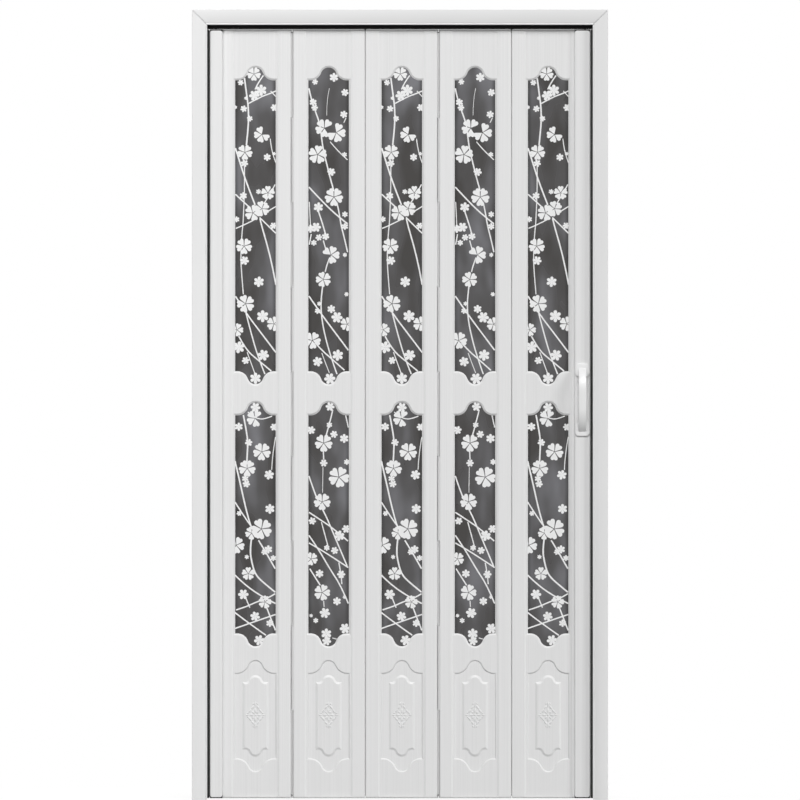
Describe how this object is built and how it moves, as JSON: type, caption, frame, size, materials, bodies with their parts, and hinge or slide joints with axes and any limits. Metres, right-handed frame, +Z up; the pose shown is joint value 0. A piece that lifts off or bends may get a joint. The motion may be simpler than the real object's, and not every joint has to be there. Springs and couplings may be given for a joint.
{
  "type": "accordion door",
  "caption": "White accordion door of hinged glazed panels that folds to one side behind a mitred frame and rolls along a head track, with bow handles on its lead post.",
  "frame": {"origin": "on the floor, in the middle of the frame's width and in the middle plane of the closed leaf", "axes": "+X to the right seen from the front, +Y to the back, where the panels fold, +Z up"},
  "size_m": [1.098, 0.094, 2.092],
  "materials": {
    "casing_white": "smooth white paint",
    "lining_white": "smooth white paint",
    "track_white": "white powder coat",
    "dark_profile": "dark extruded plastic",
    "post_white": "smooth white extruded plastic",
    "cap_white": "smooth white moulded plastic",
    "stile_white": "white extruded plastic with a fine upright grain",
    "board_white": "white moulded plastic with a fine upright grain",
    "smoked_pane": "smoked acrylic with a white blossom print",
    "handle_white": "polished white moulded plastic",
    "steel": "drawn steel",
    "screw_steel": "zinc-plated steel",
    "magnet_dark": "dark magnetic strip",
    "truck_steel": "zinc-plated steel",
    "wheel_nylon": "natural nylon"
  },
  "bodies": {
    "frame": {"left_casing": "casing_white", "right_casing": "casing_white", "head_casing": "casing_white", "left_lining": "lining_white", "right_lining": "lining_white", "head_lining": "lining_white", "lining_screws": "screw_steel", "track": "track_white", "track_screws": "screw_steel", "wall_channel": "dark_profile", "channel_screws": "screw_steel", "jamb_post": "post_white", "jamb_post_caps": "cap_white", "strike_profile": "dark_profile", "strike_plate": "steel", "strike_screws": "screw_steel", "hinge_pin_1": "steel"},
    "panel_1": {"board_1": "board_white", "panes_1": "smoked_pane", "left_stile_1": "stile_white", "right_stile_1": "stile_white", "panel_caps_1": "cap_white", "hinge_pin_2": "steel"},
    "panel_2": {"board_2": "board_white", "panes_2": "smoked_pane", "left_stile_2": "stile_white", "right_stile_2": "stile_white", "panel_caps_2": "cap_white"},
    "first_hanger": {"hinge_pin_3": "steel", "first_truck": "truck_steel"},
    "panel_3": {"board_3": "board_white", "panes_3": "smoked_pane", "left_stile_3": "stile_white", "right_stile_3": "stile_white", "panel_caps_3": "cap_white", "hinge_pin_4": "steel"},
    "panel_4": {"board_4": "board_white", "panes_4": "smoked_pane", "left_stile_4": "stile_white", "right_stile_4": "stile_white", "panel_caps_4": "cap_white"},
    "lead_leaf": {"board_5": "board_white", "panes_5": "smoked_pane", "left_stile_5": "stile_white", "right_stile_5": "stile_white", "panel_caps_5": "cap_white", "hinge_pin_5": "steel", "second_truck": "truck_steel", "lead_post": "post_white", "lead_post_caps": "cap_white", "lead_magnet": "magnet_dark", "front_handle": "handle_white", "rear_handle": "handle_white", "handle_studs": "steel", "lead_hanger": "steel", "lead_truck": "truck_steel"},
    "first_wheelset": {"first_wheels": "wheel_nylon"},
    "second_wheelset": {"second_wheels": "wheel_nylon"},
    "lead_wheelset": {"lead_wheels": "wheel_nylon"}
  },
  "joints": [
    {"name": "first_fold", "type": "hinge", "parent": "frame", "child": "panel_1", "pos_m": [-0.4785, 0.0062, 0], "axis": [0, 0, 1], "range_deg": [0, 82]},
    {"name": "panel_2_hinge", "type": "hinge", "parent": "panel_1", "child": "panel_2", "pos_m": [-0.2852, -0.0062, 0], "axis": [0, 0, 1], "range_deg": [-164, 0]},
    {"name": "first_hanger_pivot", "type": "hinge", "parent": "panel_2", "child": "first_hanger", "pos_m": [-0.0919, 0.0062, 0], "axis": [0, 0, 1], "range_deg": [0, 82]},
    {"name": "second_fold", "type": "hinge", "parent": "first_hanger", "child": "panel_3", "pos_m": [-0.0919, 0.0062, 0], "axis": [0, 0, 1], "range_deg": [0, 82]},
    {"name": "panel_4_hinge", "type": "hinge", "parent": "panel_3", "child": "panel_4", "pos_m": [0.1014, -0.0062, 0], "axis": [0, 0, 1], "range_deg": [-164, 0]},
    {"name": "lead_leaf_pivot", "type": "hinge", "parent": "panel_4", "child": "lead_leaf", "pos_m": [0.2947, 0.0062, 0], "axis": [0, 0, 1], "range_deg": [0, 82]},
    {"name": "first_wheels_roll", "type": "hinge", "parent": "first_hanger", "child": "first_wheelset", "pos_m": [-0.0919, 0.0062, 2.0536], "axis": [0, 1, 0], "continuous": true},
    {"name": "second_wheels_roll", "type": "hinge", "parent": "lead_leaf", "child": "second_wheelset", "pos_m": [0.2947, 0.0062, 2.0536], "axis": [0, 1, 0], "continuous": true},
    {"name": "lead_wheels_roll", "type": "hinge", "parent": "lead_leaf", "child": "lead_wheelset", "pos_m": [0.4885, 0.0062, 2.0536], "axis": [0, 1, 0], "continuous": true}
  ],
  "couplings": [
    {"joint": "panel_2_hinge", "follows": "first_fold", "ratio": -2},
    {"joint": "first_hanger_pivot", "follows": "first_fold", "ratio": 1},
    {"joint": "second_fold", "follows": "lead_leaf_pivot", "ratio": 1},
    {"joint": "panel_4_hinge", "follows": "lead_leaf_pivot", "ratio": -2}
  ]
}
